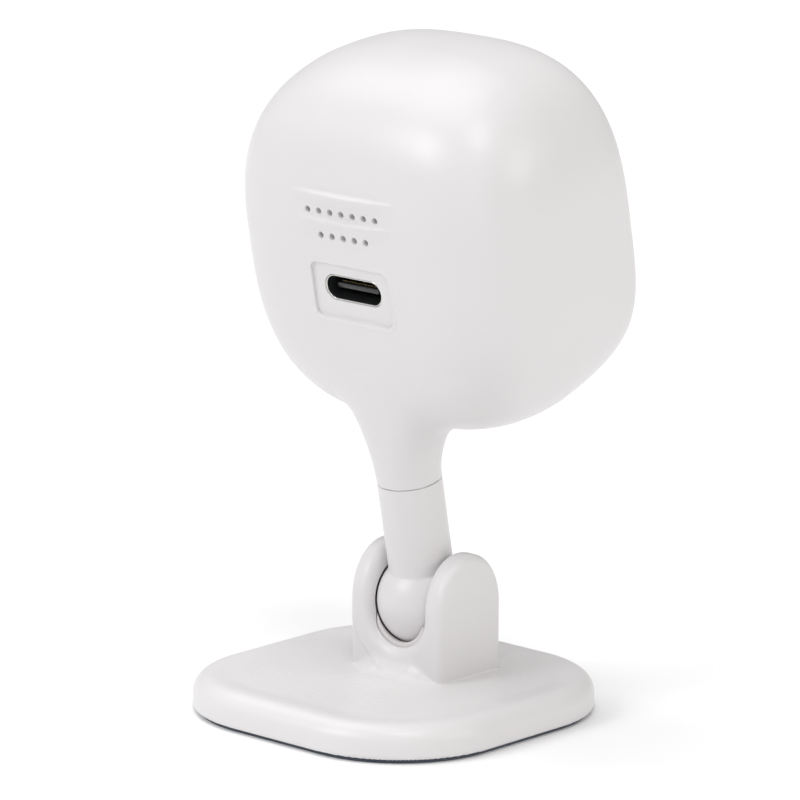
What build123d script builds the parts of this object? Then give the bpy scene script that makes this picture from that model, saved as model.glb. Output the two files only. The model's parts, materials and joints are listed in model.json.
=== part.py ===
from build123d import *
from math import cos, pi, radians, sin, tau
import os

# A small indoor security camera: a pebble-shaped head on a ball-jointed stem, standing
# in a fork on a rounded square foot. Millimetres, +Z up, origin at the middle of the
# foot's underside. The lens looks towards -Y, the USB-C inlet is on the +Y side.
#
# The head and stem are drawn in the stem's own frame: origin at the ball's centre,
# Z up the stem, Y towards the back of the head. head_place leans that frame back.

os.makedirs("parts", exist_ok=True)

# ---------------------------------------------------------------- driving dimensions
# Foot
base_side = 42.6
base_corner = 14.3
base_height = 4.5
base_edge = 2.3
dish_depth = 0.25
dish_rim = 3.2
cover_wall = 1.5
pad_thick = 0.5
pad_inset = 0.8
bottom_thick = 1.0
fit_gap = 0.15
weight_thick = 1.35
boss_inset = 8.1
boss_r = 2.2
boss_bore_r = 0.8
retainer_x = 10.6
retainer_boss_r = 1.9
retainer_bore_r = 0.7
strap_thick = 1.1
screw_clear_r = 0.95
screw_head_clear_r = 1.75
bore_roof = 0.7

# Fork that holds the ball
fork_y = -5.55
fork_half_x = 7.45
fork_half_y = 5.55
fork_arch = 6.7
fork_edge = 0.7
fork_foot_z = 3.2
slot_half = 4.15
slot_low = 5.0
slot_edge = 1.1

# Ball and stem
ball_r = 5.86
ball_z = 12.6
ball_gap = 0.06
cup_gap = 0.1
cup_half_y = 4.7
cup_wall_gap = 0.45
cup_top = 0.4
cup_low = 2.2
stem_r = 3.94
stem_top = 15.65
lean = 11.24
pin_r = 2.5
pin_gap = 0.05
washer_seat = 21.45
washer_t = 0.4
screw_r = 1.0

# Neck, moulded with the rear shell
seam_z = 15.75
neck_top = 31.0
neck_rise = 11.0
neck_side, neck_side_pow = 4.3, 1.9
neck_front, neck_front_pow = 9.5, 2.2
neck_back = 0.6
neck_pocket_r = 3.9

# Head outline: sections across Y, each a superellipse about (0, head_mid_z)
head_mid_z = 44.4
head_back_y = 5.62
head_front_y = -23.6
side_front, side_slope, side_bow = 23.6, -0.288, 0.0132
top_front, top_slope, top_bow = 23.1, -0.074, 0.0017
low_front, low_slope, low_bow = 20.8, 0.112, 0.002
back_round_in, back_round_len, back_round_pow = 19.7, 18.2, 2.54
front_round_in, front_round_len, front_round_pow = 6.9, 16.3, 2.64
pow_top_back, pow_top_front = 3.2, 2.9
pow_low_back, pow_low_front = 2.7, 3.9
shell_wall = 1.6
head_depth = head_back_y - head_front_y

# Front
window_set_back = 0.5
window_thick = 1.2
window_gap = 0.15
frame_thick = 1.4

# Lens and filter box, on the head's middle line
lens_z = 45.5
lens_flange_r = 7.0
lens_thread_r = 5.9

# Boards
board_y = -4.8
board_thick = 1.2
board_half_x = 13.0
board_low_z = 33.5
board_high_z = 57.0
post_r = 1.9
post_bore_r = 0.75

# USB-C inlet
port_z = 41.8
port_w = 8.94
port_h = 3.16
port_len = 7.35
port_skin = 0.3
panel_w = 12.2
panel_h = 6.8
panel_low = 38.05
panel_corner = 0.8
panel_floor_y = 5.2

# Sound outlet
hole_r = 0.38
hole_pitch = 1.78
hole_shift = 0.15
hole_rows = ((7, 51.4), (5, 48.45))
rib_rise = 0.4
rib_depth = 1.2
rib_height = 0.45
ribs = ((8.4, 53.55), (7.4, 50.45))
speaker_z = 50.8
speaker_w, speaker_h, speaker_t = 15.0, 11.0, 3.0
speaker_y = 1.4
mesh_seat_y = 3.95

# Reset button behind a pinhole low on the +X side
reset_y = -9.0
reset_z = 38.0
reset_travel = 0.25

head_place = Location((0, fork_y, ball_z), (-lean, 0, 0))


# ---------------------------------------------------------------- helpers
def save(node, *solids):
    """Write one node's solids to its own file."""
    shape = solids[0] if len(solids) == 1 else Compound(children=list(solids))
    export_step(shape, "parts/" + node + ".step")


def save_head(node, *solids):
    """Write a node that is drawn in the leaning stem frame."""
    save(node, *[head_place * solid for solid in solids])


def round_plate(side_x, side_y, corner, low, high):
    """Flat plate with rounded corners, from height low to height high."""
    return Pos(0, 0, low) * extrude(RectangleRounded(side_x, side_y, corner), high - low)


def rod(radius, centre, axis, length):
    """Cylinder from centre along axis."""
    return extrude(Plane(origin=centre, z_dir=axis) * Circle(radius), length)


def block(x, y, z):
    """Box between pairs of limits on each axis."""
    size = (x[1] - x[0], y[1] - y[0], z[1] - z[0])
    middle = ((x[0] + x[1]) / 2, (y[0] + y[1]) / 2, (z[0] + z[1]) / 2)
    return Pos(*middle) * Box(*size)


def upright(sketch, back_y, thick, x=0.0, z=0.0):
    """Push a sketch drawn in X and Z forward (towards -Y) from the plane y = back_y."""
    return extrude(Plane(origin=(x, back_y, z), x_dir=(1, 0, 0), z_dir=(0, -1, 0)) * sketch, thick)


def single(shape):
    """The one solid of a finished boolean result."""
    return shape.solids().sort_by(SortBy.VOLUME)[-1]


# ---------------------------------------------------------------- head outline
def rounded_in(fraction, power):
    """How far an edge has come in, 0 to 1, at a fraction of the rounding's length."""
    return 1 - (1 - fraction**power) ** (1 / power)


def half_sizes(depth):
    """Half-width, height above and height below the middle line at a depth from the back."""
    ahead = head_depth - depth
    inset = back_round_in * rounded_in(max(0, 1 - depth / back_round_len), back_round_pow)
    into_front = min(1, max(0, front_round_len - ahead) / front_round_len)
    inset += front_round_in * rounded_in(into_front, front_round_pow)
    side = side_front + side_slope * ahead + side_bow * ahead**2 - inset
    top = top_front + top_slope * ahead + top_bow * ahead**2 - inset
    low = low_front + low_slope * ahead + low_bow * ahead**2 - inset
    return side, top, low


def outline_point(angle, depth, inset):
    """Point of the section at a depth, brought in by inset, in X and Z."""
    side, top, low = half_sizes(depth)
    share = depth / head_depth
    up = sin(angle) >= 0
    height = (top if up else low) - inset
    power = pow_top_back + (pow_top_front - pow_top_back) * share
    if not up:
        power = pow_low_back + (pow_low_front - pow_low_back) * share
    reach = abs(cos(angle) / (side - inset)) ** power + abs(sin(angle) / height) ** power
    radius = reach ** (-1 / power)
    return radius * cos(angle), head_mid_z + radius * sin(angle)


def section(depth, inset, y, count=28):
    """Closed smooth wire of one section, standing at the plane y."""
    points = []
    for step in range(count):
        x, z = outline_point(tau * step / count, depth, inset)
        points.append((x, y, z))
    return Wire([Spline(*points, periodic=True)])


def section_face(depth, inset, y):
    """Flat face inside one section."""
    return Face(section(depth, inset, y))


def pebble(inset):
    """Head volume, brought in by inset all round and at the back."""
    count = 14
    depths = [head_depth * (1 - cos(pi * step / count)) / 2 for step in range(count + 1)]
    scale = (head_depth - inset) / head_depth
    wires = [section(depth, inset, head_back_y - inset - depth * scale) for depth in depths]
    return Solid.make_loft(wires)


def front_plate(inset, front_y, thick):
    """Plate that follows the front opening's outline."""
    return extrude(section_face(head_depth, shell_wall + inset, front_y), thick, dir=(0, 1, 0))


# ---------------------------------------------------------------- foot
def fork_block():
    """Arched block that the fork is cut from, standing on the foot."""
    low = fork_foot_z - ball_z
    side = Line((fork_half_y, low), (fork_half_y, 0))
    arch = EllipticalCenterArc((0, 0), fork_half_y, fork_arch, start_angle=0, arc_size=180)
    far = Line((-fork_half_y, 0), (-fork_half_y, low))
    foot = Line((-fork_half_y, low), (fork_half_y, low))
    profile = make_face([side, arch, far, foot])
    plane = Plane(origin=(-fork_half_x, fork_y, ball_z), x_dir=(0, 1, 0), z_dir=(1, 0, 0))
    solid = extrude(plane * profile, 2 * fork_half_x)
    rims = [edge for edge in solid.edges() if abs(abs(edge.center().X) - fork_half_x) < 0.01]
    rims = [edge for edge in rims if edge.bounding_box().max.Z > fork_foot_z + 0.5]
    return fillet(rims, fork_edge)


def fork_slot():
    """U-shaped cut that lets the stem swing forwards and backwards."""
    centre_z = ball_z - slot_low + slot_half
    channel = rod(slot_half, (0, fork_y - 20, centre_z), (0, 1, 0), 40)
    return channel + block((-slot_half, slot_half), (fork_y - 20, fork_y + 20), (centre_z, 30))


def cup_well(clear):
    """Upright well below the ball: round in X, flattened in Y."""
    radius = ball_r + cup_gap - clear
    half_y = cup_half_y - clear
    top = ball_z + cup_top + cup_gap
    column = rod(radius, (0, fork_y, 0), (0, 0, 1), top)
    return column & block((-8, 8), (fork_y - half_y, fork_y + half_y), (0, top))


boss_reach = base_side / 2 - boss_inset
boss_spots = [(x, y) for x in (-boss_reach, boss_reach) for y in (-boss_reach, boss_reach)]
retainer_spots = [(-retainer_x, fork_y), (retainer_x, fork_y)]
floor_z = pad_thick + bottom_thick
roof_z = base_height - cover_wall


def make_base_cover():
    """Foot cover and fork in one moulding, hollow underneath."""
    plate = round_plate(base_side, base_side, base_corner, pad_thick, base_height)
    plate = fillet(plate.edges().group_by(Axis.Z)[-1], base_edge)
    plate = fillet(plate.edges().group_by(Axis.Z)[0], 0.4)
    inner = base_side - 2 * dish_rim
    plate -= round_plate(inner, inner, base_corner - dish_rim, base_height - dish_depth, 9)
    fork = fork_block() - fork_slot()
    rim_y = (fork_y - fork_half_y, fork_y + fork_half_y)
    lips = []
    for edge in fork.edges():
        middle = edge.center()
        on_face = min(abs(middle.Y - y) for y in rim_y) < 0.02
        if on_face and abs(middle.X) < slot_half + 0.05 and middle.Z > 5:
            lips.append(edge)
    fork = fillet(lips, slot_edge)
    cover = plate + fork
    wide = base_side - 2 * cover_wall
    hollow = round_plate(wide, wide, base_corner - cover_wall, 0, roof_z)
    for x, y in boss_spots:
        hollow -= rod(boss_r, (x, y, floor_z), (0, 0, 1), 3)
    for x, y in retainer_spots:
        hollow -= rod(retainer_boss_r, (x, y, floor_z + strap_thick), (0, 0, 1), 3)
    cover -= hollow
    for x, y in boss_spots:
        cover -= rod(boss_bore_r, (x, y, 0), (0, 0, 1), base_height - bore_roof)
    for x, y in retainer_spots:
        cover -= rod(retainer_bore_r, (x, y, 0), (0, 0, 1), base_height - bore_roof)
    cover -= cup_well(0)
    cover -= Pos(0, fork_y, ball_z) * Sphere(ball_r + ball_gap)
    return single(cover)


def make_socket_cup():
    """Friction cup that presses on the ball from below, flush inside the fork's slot."""
    cup = cup_well(0.9 * cup_gap) & block((-8, 8), (-20, 20), (floor_z + cup_low, ball_z + cup_top))
    centre_z = ball_z - slot_low + slot_half
    gap = slot_half - cup_wall_gap
    cup -= rod(gap, (0, fork_y - 9, centre_z), (0, 1, 0), 18)
    cup -= block((-gap, gap), (-20, 9), (centre_z, 20))
    return single(cup - Pos(0, fork_y, ball_z) * Sphere(ball_r + ball_gap))


def make_pressure_pad():
    """Rubber spring ring squeezed between the cup and its retainer."""
    low = floor_z + strap_thick
    thick = cup_low - strap_thick
    pad = rod(4.3, (0, fork_y, low), (0, 0, 1), thick)
    return single(pad - rod(2.0, (0, fork_y, low), (0, 0, 1), thick))


def make_cup_retainer():
    """Steel strap below the cup, with a screw at each end."""
    strap = Pos(0, fork_y, floor_z) * extrude(SlotOverall(26.6, 9.0), strap_thick)
    for x, y in retainer_spots:
        strap -= rod(screw_clear_r, (x, y, 0), (0, 0, 1), 5)
        strap -= rod(screw_head_clear_r, (x, y, 0), (0, 0, 1), floor_z + 0.6)
    return single(strap)


def make_retainer_screws():
    """Pan-head screws that pull the retainer up into the cover."""
    screws = []
    for x, y in retainer_spots:
        head = rod(1.6, (x, y, floor_z + 0.05), (0, 0, 1), 0.55)
        shank = rod(retainer_bore_r, (x, y, floor_z + 0.1), (0, 0, 1), 2.2)
        screws.append(single(head + shank))
    return screws


def make_base_weight():
    """Steel plate that keeps the foot from tipping, cut out round the retainer."""
    wide = base_side - 2 * cover_wall - 0.6
    plate = round_plate(wide, wide, base_corner - cover_wall, floor_z, floor_z + weight_thick)
    plate -= Pos(0, fork_y, 0) * extrude(RectangleRounded(28.0, 13.0, 4.0), 5)
    for x, y in boss_spots:
        plate -= rod(2.6, (x, y, 0), (0, 0, 1), 5)
    return single(plate)


def make_bottom_cover():
    """Flat plastic floor of the foot, screwed on from below."""
    wide = base_side - 2 * cover_wall - 2 * fit_gap
    plate = round_plate(wide, wide, base_corner - cover_wall, pad_thick, floor_z)
    for x, y in boss_spots:
        plate -= rod(screw_clear_r, (x, y, 0), (0, 0, 1), 5)
        plate -= rod(screw_head_clear_r, (x, y, 0), (0, 0, 1), pad_thick + 0.55)
    return single(plate)


def make_cover_screws():
    """Four pan-head screws under the foot pad."""
    screws = []
    for x, y in boss_spots:
        head = rod(1.6, (x, y, pad_thick), (0, 0, 1), 0.5)
        shank = rod(boss_bore_r, (x, y, pad_thick + 0.1), (0, 0, 1), 2.9)
        screws.append(single(head + shank))
    return screws


def make_foot_pad():
    """Soft pad glued over the screws, the part that meets the table."""
    wide = base_side - 2 * pad_inset
    pad = round_plate(wide, wide, base_corner - pad_inset, 0, pad_thick)
    return single(pad)


save("base_cover", make_base_cover())
save("socket_cup", make_socket_cup())
save("pressure_pad", make_pressure_pad())
save("cup_retainer", make_cup_retainer())
save("retainer_screws", *make_retainer_screws())
save("base_weight", make_base_weight())
save("bottom_cover", make_bottom_cover())
save("cover_screws", *make_cover_screws())
save("foot_pad", make_foot_pad())


# ---------------------------------------------------------------- stem
pin_top = washer_seat + washer_t + 0.05


def make_ball_stem():
    """Ball, stem and swivel pin in one moulding, tapped for the swivel screw."""
    stem = Sphere(ball_r) + rod(stem_r, (0, 0, 0), (0, 0, 1), stem_top)
    stem += rod(pin_r, (0, 0, stem_top), (0, 0, 1), pin_top - stem_top)
    stem -= rod(screw_r, (0, 0, pin_top - 5.2), (0, 0, 1), 9)
    return single(stem)


def make_swivel_screw():
    """Screw down the pin, reached from inside the head."""
    top = pin_top + washer_t
    screw = rod(1.9, (0, 0, top), (0, 0, 1), 1.3) + rod(screw_r, (0, 0, pin_top - 5), (0, 0, 1), 6)
    slot = Pos(0, 0, top + 1.1) * Box(2.6, 0.5, 0.5)
    return single(screw - slot - slot.rotate(Axis.Z, 90))


def ring(outer, inner, low, thick):
    """Flat washer about the stem's axis."""
    return single(rod(outer, (0, 0, low), (0, 0, 1), thick) - rod(inner, (0, 0, low), (0, 0, 1), thick))


save_head("ball_stem", make_ball_stem())
save_head("swivel_washer", ring(3.5, screw_r + 0.05, pin_top, washer_t))
save_head("swivel_screw", make_swivel_screw())
save_head("friction_washer", ring(3.7, pin_r + pin_gap, washer_seat, washer_t))


# ---------------------------------------------------------------- rear shell and neck
def neck_section(z, count=24):
    """Oval of the neck at a height: the stem's round at the seam, wider and deeper above."""
    rise = (z - seam_z) / neck_rise
    half_x = stem_r + neck_side * rise**neck_side_pow
    front = stem_r + neck_front * rise**neck_front_pow
    back = stem_r + neck_back * rise
    points = []
    for step in range(count):
        angle = tau * step / count
        reach = back if sin(angle) >= 0 else front
        points.append((half_x * cos(angle), reach * sin(angle), z))
    return Wire([Spline(*points, periodic=True)])


def make_neck():
    """Flared neck that carries the head on the stem's pin, its top sunk in the head."""
    steps = 8
    heights = [seam_z + (neck_top - seam_z) * step / steps for step in range(steps + 1)]
    return Solid.make_loft([neck_section(z) for z in heights])


def speaker_box(grow, low_y, high_y):
    """Block round the speaker's outline, larger by grow."""
    half_x = speaker_w / 2 + grow
    half_z = speaker_h / 2 + grow
    return block((-half_x, half_x), (low_y, high_y), (speaker_z - half_z, speaker_z + half_z))


def sound_holes(low_y, high_y):
    """Two rows of round sound holes."""
    holes = []
    for count, z in hole_rows:
        for step in range(count):
            x = hole_shift + (step - (count - 1) / 2) * hole_pitch
            holes.append(rod(hole_r, (x, low_y, z), (0, 1, 0), high_y - low_y))
    return holes


frame_posts = [(x, z) for x in (-11.5, 11.5) for z in (35.0, 55.5)]


def make_rib(half_length, z):
    """Slender raised rib above a row of sound holes, fading out at both ends."""
    seat_y = head_back_y + rib_rise - rib_depth - 0.25 * abs(z - 50)**0.5
    return Pos(0, seat_y, z) * scale(Sphere(1), by=(half_length, rib_depth, rib_height))


def make_rear_shell():
    """White back and sides of the head with the neck, open at the front."""
    body = pebble(0) + make_neck()
    for half_length, z in ribs:
        body += make_rib(half_length, z)
    cavity = pebble(shell_wall)
    cavity += front_plate(0, head_front_y - 1, 3)
    cavity -= speaker_box(1.0, speaker_y + 0.45, 9) - speaker_box(-0.9, -9, 9)
    for x, z in frame_posts:
        cavity -= rod(post_r, (x, board_y, z), (0, 1, 0), 12)
    cavity -= block((panel_w / -2, panel_w / 2), (3.45, 9), (panel_low - 0.9, panel_low + panel_h + 0.4))
    cavity += block((-6.6, 6.6), (2.5, mesh_seat_y), (46.7, 53.4))
    body -= cavity
    body -= rod(pin_r + pin_gap, (0, 0, 10), (0, 0, 1), 20)
    body -= rod(neck_pocket_r, (0, 0, washer_seat), (0, 0, 1), 5)
    panel = RectangleRounded(panel_w, panel_h, panel_corner)
    body -= upright(panel, head_back_y + 2, head_back_y + 2 - panel_floor_y, 0, panel_low + panel_h / 2)
    mouth = SlotOverall(port_w + 0.3, port_h + 0.3)
    body -= upright(mouth, head_back_y + 2, 6, 0, port_z)
    for hole in sound_holes(2, 9):
        body -= hole
    for x, z in frame_posts:
        body -= rod(post_bore_r, (x, -9, z), (0, 1, 0), 9.6)
    body -= rod(0.7, (10, reset_y, reset_z), (1, 0, 0), 20)
    return single(body)


save_head("rear_shell", make_rear_shell())


# ---------------------------------------------------------------- front of the head
window_y = head_front_y + window_set_back
frame_y = window_y + window_thick
lens_y = frame_y + 0.4


def around_lens(radius, count, start):
    """Evenly spaced spots on a circle round the lens, in X and Z."""
    spots = []
    for step in range(count):
        angle = radians(start) + tau * step / count
        spots.append((radius * cos(angle), lens_z + radius * sin(angle)))
    return spots


led_spots = around_lens(10.6, 4, 45)
light_spot = (0, lens_z + 10.4)
status_spot = (0, lens_z - 10.4)
mic_spot = (4.8, lens_z - 10.4)


def make_front_window():
    """Dark clear front panel over the lens and the infrared lamps."""
    window = front_plate(window_gap, window_y, window_thick)
    window -= rod(0.5, (mic_spot[0], window_y - 1, mic_spot[1]), (0, 1, 0), 9)
    return single(window)


def make_front_frame():
    """Black carrier behind the window, with openings for lens, lamps and sensors."""
    frame = front_plate(window_gap, frame_y, frame_thick)
    frame -= rod(lens_flange_r + 0.3, (0, frame_y - 1, lens_z), (0, 1, 0), 9)
    for x, z in led_spots:
        frame -= rod(2.4, (x, frame_y - 1, z), (0, 1, 0), 9)
    for x, z in (light_spot, status_spot):
        frame -= rod(1.5, (x, frame_y - 1, z), (0, 1, 0), 9)
    frame -= rod(1.7, (mic_spot[0], frame_y - 1, mic_spot[1]), (0, 1, 0), 9)
    for x, z in frame_posts:
        frame += rod(post_r, (x, frame_y + 0.5, z), (0, 1, 0), board_y - board_thick - frame_y - 0.5)
        frame -= rod(screw_clear_r, (x, frame_y - 1, z), (0, 1, 0), 40)
        frame -= rod(1.65, (x, frame_y - 1, z), (0, 1, 0), 11)
    return single(frame)


save_head("front_window", make_front_window())
save_head("front_frame", make_front_frame())

ir_board_y = frame_y + frame_thick + 1.0


def make_ir_board():
    """Ring-shaped circuit board that carries lamps and sensors round the lens."""
    board = upright(RectangleRounded(26, 25, 6), ir_board_y, 0.8, 0, lens_z)
    board -= rod(lens_flange_r + 0.6, (0, ir_board_y - 5, lens_z), (0, 1, 0), 9)
    for x, z in frame_posts:
        board -= rod(2.2, (x, ir_board_y - 5, z), (0, 1, 0), 9)
    return single(board)


def board_parts(spots, width, height, thick):
    """Small square packages on the front of the lamp board."""
    front = ir_board_y - 0.8
    parts = []
    for x, z in spots:
        parts.append(upright(RectangleRounded(width, height, 0.3), front, thick, x, z))
    return parts


def domed_parts(spots, side, thick, dome_r):
    """Packages with a clear dome on top."""
    domes = []
    for package, (x, z) in zip(board_parts(spots, side, side, thick), spots):
        centre = (x, ir_board_y - 0.8 - thick, z)
        dome = Pos(*centre) * Sphere(dome_r)
        dome &= block((x - 3, x + 3), (centre[1] - 3, centre[1] + 0.1), (z - 3, z + 3))
        domes.append(single(package + dome))
    return domes


save_head("ir_board", make_ir_board())
save_head("ir_leds", *domed_parts(led_spots, 3.0, 0.6, 0.9))
save_head("light_sensor", *domed_parts([light_spot], 2.0, 0.6, 0.7))
save_head("status_led", *domed_parts([status_spot], 2.0, 0.6, 0.7))
save_head("microphone", *board_parts([mic_spot], 1.9, 2.4, 0.8))


# ---------------------------------------------------------------- camera module
main_front_y = board_y - board_thick
box_back_y = main_front_y
box_front_y = box_back_y - 3.4
holder_front_y = box_front_y - 4.2


def make_lens_barrel():
    """Round lens barrel: a front flange, then the threaded tube, bored for its glasses."""
    tube = rod(lens_thread_r, (0, lens_y, lens_z), (0, 1, 0), box_front_y - 0.2 - lens_y)
    flange = rod(lens_flange_r, (0, lens_y, lens_z), (0, 1, 0), 3.2)
    barrel = tube + flange
    funnel = Cone(5.4, 4.3, 2.4, align=(Align.CENTER, Align.CENTER, Align.MIN))
    barrel -= Pos(0, lens_y, lens_z) * Rot(-90, 0, 0) * funnel
    barrel -= rod(4.3, (0, lens_y, lens_z), (0, 1, 0), 5.0)
    barrel -= rod(3.2, (0, lens_y, lens_z), (0, 1, 0), 40)
    barrel -= rod(4.0, (0, box_front_y - 2.4, lens_z), (0, 1, 0), 9)
    return single(barrel)


def make_lens_glass(front_y, radius, bulge, thick):
    """Glass disc with a domed front."""
    ball_radius = (radius**2 + bulge**2) / (2 * bulge)
    dome = Pos(0, front_y + ball_radius, lens_z) * Sphere(ball_radius)
    return single(dome & rod(radius, (0, front_y, lens_z), (0, 1, 0), thick))


def make_lens_holder():
    """Square holder with the threaded bore, standing on the filter box."""
    outer = RectangleRounded(15.0, 15.0, 1.5)
    holder = upright(outer, box_front_y, box_front_y - holder_front_y, 0, lens_z)
    holder -= rod(lens_thread_r, (0, holder_front_y - 1, lens_z), (0, 1, 0), 9)
    return single(holder)


shuttle_travel = 5.6
shuttle_half_x = 5.5
shuttle_half_z = 3.6
shuttle_t = 0.8


def make_filter_box():
    """Box between lens and sensor that guides the sliding filter frame."""
    outer = block((-11.0, 11.0), (box_front_y, box_back_y), (lens_z - 6.0, lens_z + 6.0))
    slide_low = box_front_y + 0.8
    run = (-shuttle_half_x - shuttle_travel / 2 - 0.3, shuttle_half_x + shuttle_travel / 2 + 0.3)
    outer -= block(run, (slide_low, slide_low + shuttle_t + 0.1), (lens_z - 3.7, lens_z + 3.7))
    outer -= block((-2.4, 2.4), (box_front_y - 1, slide_low + 0.2), (lens_z - 2.4, lens_z + 2.4))
    outer -= block((-3.2, 3.2), (slide_low + 0.2, box_back_y + 1), (lens_z - 3.0, lens_z + 3.0))
    outer -= block((5.0, 10.2), (slide_low + 1.3, box_back_y + 1), (lens_z - 5.0, lens_z + 5.0))
    return single(outer)


shuttle_x = -shuttle_travel / 2
shuttle_y = box_front_y + 0.85
pane_spots = (-shuttle_travel / 2, shuttle_travel / 2)


def make_filter_shuttle():
    """Sliding frame with two windows side by side."""
    y = (shuttle_y, shuttle_y + shuttle_t)
    frame = block((shuttle_x - shuttle_half_x, shuttle_x + shuttle_half_x), y,
                  (lens_z - shuttle_half_z, lens_z + shuttle_half_z))
    for offset in pane_spots:
        x = shuttle_x + offset
        frame -= block((x - 2.3, x + 2.3), (y[0] - 1, y[1] + 1), (lens_z - 2.4, lens_z + 2.4))
    return single(frame)


def make_pane(offset):
    """One glass of the sliding frame."""
    x = shuttle_x + offset
    y = (shuttle_y + 0.2, shuttle_y + 0.6)
    return block((x - 2.3, x + 2.3), y, (lens_z - 2.4, lens_z + 2.4))


def make_filter_coil():
    """Coil on its bobbin that throws the filter frame across."""
    return rod(0.6, (7.6, box_back_y - 0.65, lens_z - 4.6), (0, 0, 1), 9.2)


save_head("lens_barrel", make_lens_barrel())
save_head("lens_front_glass", make_lens_glass(lens_y + 0.9, 4.25, 1.1, 2.6))
save_head("lens_rear_glass", make_lens_glass(box_front_y - 2.3, 3.95, 0.5, 1.4))
save_head("lens_holder", make_lens_holder())
save_head("filter_box", make_filter_box())
save_head("filter_shuttle", make_filter_shuttle())
save_head("ir_cut_glass", make_pane(pane_spots[1]))
save_head("clear_glass", make_pane(pane_spots[0]))
save_head("filter_coil", make_filter_coil())
sensor_y = (main_front_y - 0.7, main_front_y)
save_head("image_sensor", block((-3.0, 3.0), sensor_y, (lens_z - 2.8, lens_z + 2.8)))


# ---------------------------------------------------------------- boards
def make_main_board():
    """Main circuit board, upright behind the camera module."""
    middle_z = (board_low_z + board_high_z) / 2
    outline = RectangleRounded(2 * board_half_x + 3, board_high_z - board_low_z, 3.0)
    board = upright(outline, board_y, board_thick, 0, middle_z)
    for x, z in frame_posts:
        board -= rod(screw_clear_r, (x, board_y - 3, z), (0, 1, 0), 9)
    return single(board)


def make_shield_can():
    """Pressed tin can over the processor."""
    outer = block((-7.5, 7.5), (board_y, board_y + 1.9), (46.0, 56.0))
    return single(outer - block((-7.3, 7.3), (board_y - 1, board_y + 1.7), (46.2, 55.8)))


save_head("main_board", make_main_board())
save_head("processor", block((-5.5, 5.5), (board_y, board_y + 1.1), (46.8, 55.2)))
save_head("thermal_pad", block((-5.0, 5.0), (board_y + 1.1, board_y + 1.7), (47.2, 54.8)))
save_head("shield_can", make_shield_can())
save_head("memory_chip", block((-11.0, -8.0), (board_y, board_y + 0.8), (41.0, 46.0)))
save_head("board_header", block((-6.0, 6.0), (board_y, board_y + 1.4), (36.2, 38.9)))


def make_frame_screws():
    """Four screws that draw frame and boards into the rear shell's posts."""
    screws = []
    head_y = frame_y + 10.0
    for x, z in frame_posts:
        head = rod(1.5, (x, head_y - 1.2, z), (0, 1, 0), 1.2)
        shank = rod(post_bore_r, (x, head_y - 0.1, z), (0, 1, 0), -1.5 - head_y)
        screws.append(single(head + shank))
    return screws


save_head("frame_screws", *make_frame_screws())


def make_ribbon_cable():
    """Flat cable from the lamp board to the main board, folded past the camera module."""
    return block((12.35, 12.5), (ir_board_y, main_front_y), (lens_z - 3, lens_z + 3))


save_head("ribbon_cable", make_ribbon_cable())


# ---------------------------------------------------------------- USB-C inlet
port_front_y = panel_floor_y - 0.1


def port_inside():
    """Outline of the inlet's opening, inside its steel shell."""
    return SlotOverall(port_w - 2 * port_skin, port_h - 2 * port_skin)


def make_usb_shell():
    """Drawn steel shell of the inlet, open at the back of the head."""
    outer = upright(SlotOverall(port_w, port_h), port_front_y, port_len, 0, port_z)
    return single(outer - upright(port_inside(), port_front_y + 1, port_len + 0.7, 0, port_z))


def make_usb_tongue():
    """Insulator block at the bottom of the inlet, with the plug's tongue."""
    block_y = port_front_y - port_len + 0.3
    plug = upright(port_inside(), block_y + 1.6, 1.6, 0, port_z)
    tongue = block((-3.35, 3.35), (block_y, port_front_y - 0.75), (port_z - 0.35, port_z + 0.35))
    return single(plug + tongue)


def make_usb_contacts():
    """Twelve gold contacts on each face of the tongue."""
    contacts = []
    y = (port_front_y - 4.6, port_front_y - 1.3)
    for step in range(12):
        x = (step - 5.5) * 0.5
        for face in (-1, 1):
            z = sorted((port_z + face * 0.35, port_z + face * 0.42))
            contacts.append(block((x - 0.14, x + 0.14), y, z))
    return contacts


save_head("usb_shell", make_usb_shell())
save_head("usb_tongue", make_usb_tongue())
save_head("usb_contacts", *make_usb_contacts())
port_low_z = port_z - port_h / 2
save_head("usb_board", block((-6.0, 6.0), (board_y + 0.2, 3.2), (port_low_z - 1.0, port_low_z)))


# ---------------------------------------------------------------- speaker
def make_speaker_frame():
    """Flat rectangular speaker basket."""
    frame = speaker_box(0, speaker_y - speaker_t, speaker_y)
    frame -= speaker_box(-0.8, speaker_y - 1.2, speaker_y + 1)
    return single(frame - rod(3.6, (0, speaker_y - speaker_t - 1, speaker_z), (0, 1, 0), 9))


def make_speaker_cone():
    """Thin domed diaphragm."""
    sheet = speaker_box(-0.8, speaker_y - 0.75, speaker_y - 0.6)
    dome = Pos(0, speaker_y - 5.3, speaker_z) * Sphere(5.2)
    cap = dome & speaker_box(-0.8, speaker_y - 0.7, speaker_y)
    return single(sheet + cap)


def make_speaker_gasket():
    """Foam ring that seals the speaker to the shell."""
    outer = speaker_box(0, speaker_y, speaker_y + 0.45)
    return single(outer - speaker_box(-0.8, speaker_y - 1, speaker_y + 1))


save_head("speaker_frame", make_speaker_frame())
save_head("speaker_cone", make_speaker_cone())
save_head("speaker_magnet", rod(3.5, (0, speaker_y - speaker_t, speaker_z), (0, 1, 0), 1.7))
save_head("speaker_gasket", make_speaker_gasket())
save_head("dust_mesh", block((-6.4, 6.4), (mesh_seat_y - 0.2, mesh_seat_y), (46.9, 53.2)))


# ---------------------------------------------------------------- aerial
aerial_y = board_y - 0.6


def make_aerial():
    """Flat aerial strip above the main board."""
    return block((-9.0, 9.0), (aerial_y, aerial_y + 0.3), (58.2, 61.6))


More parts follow.
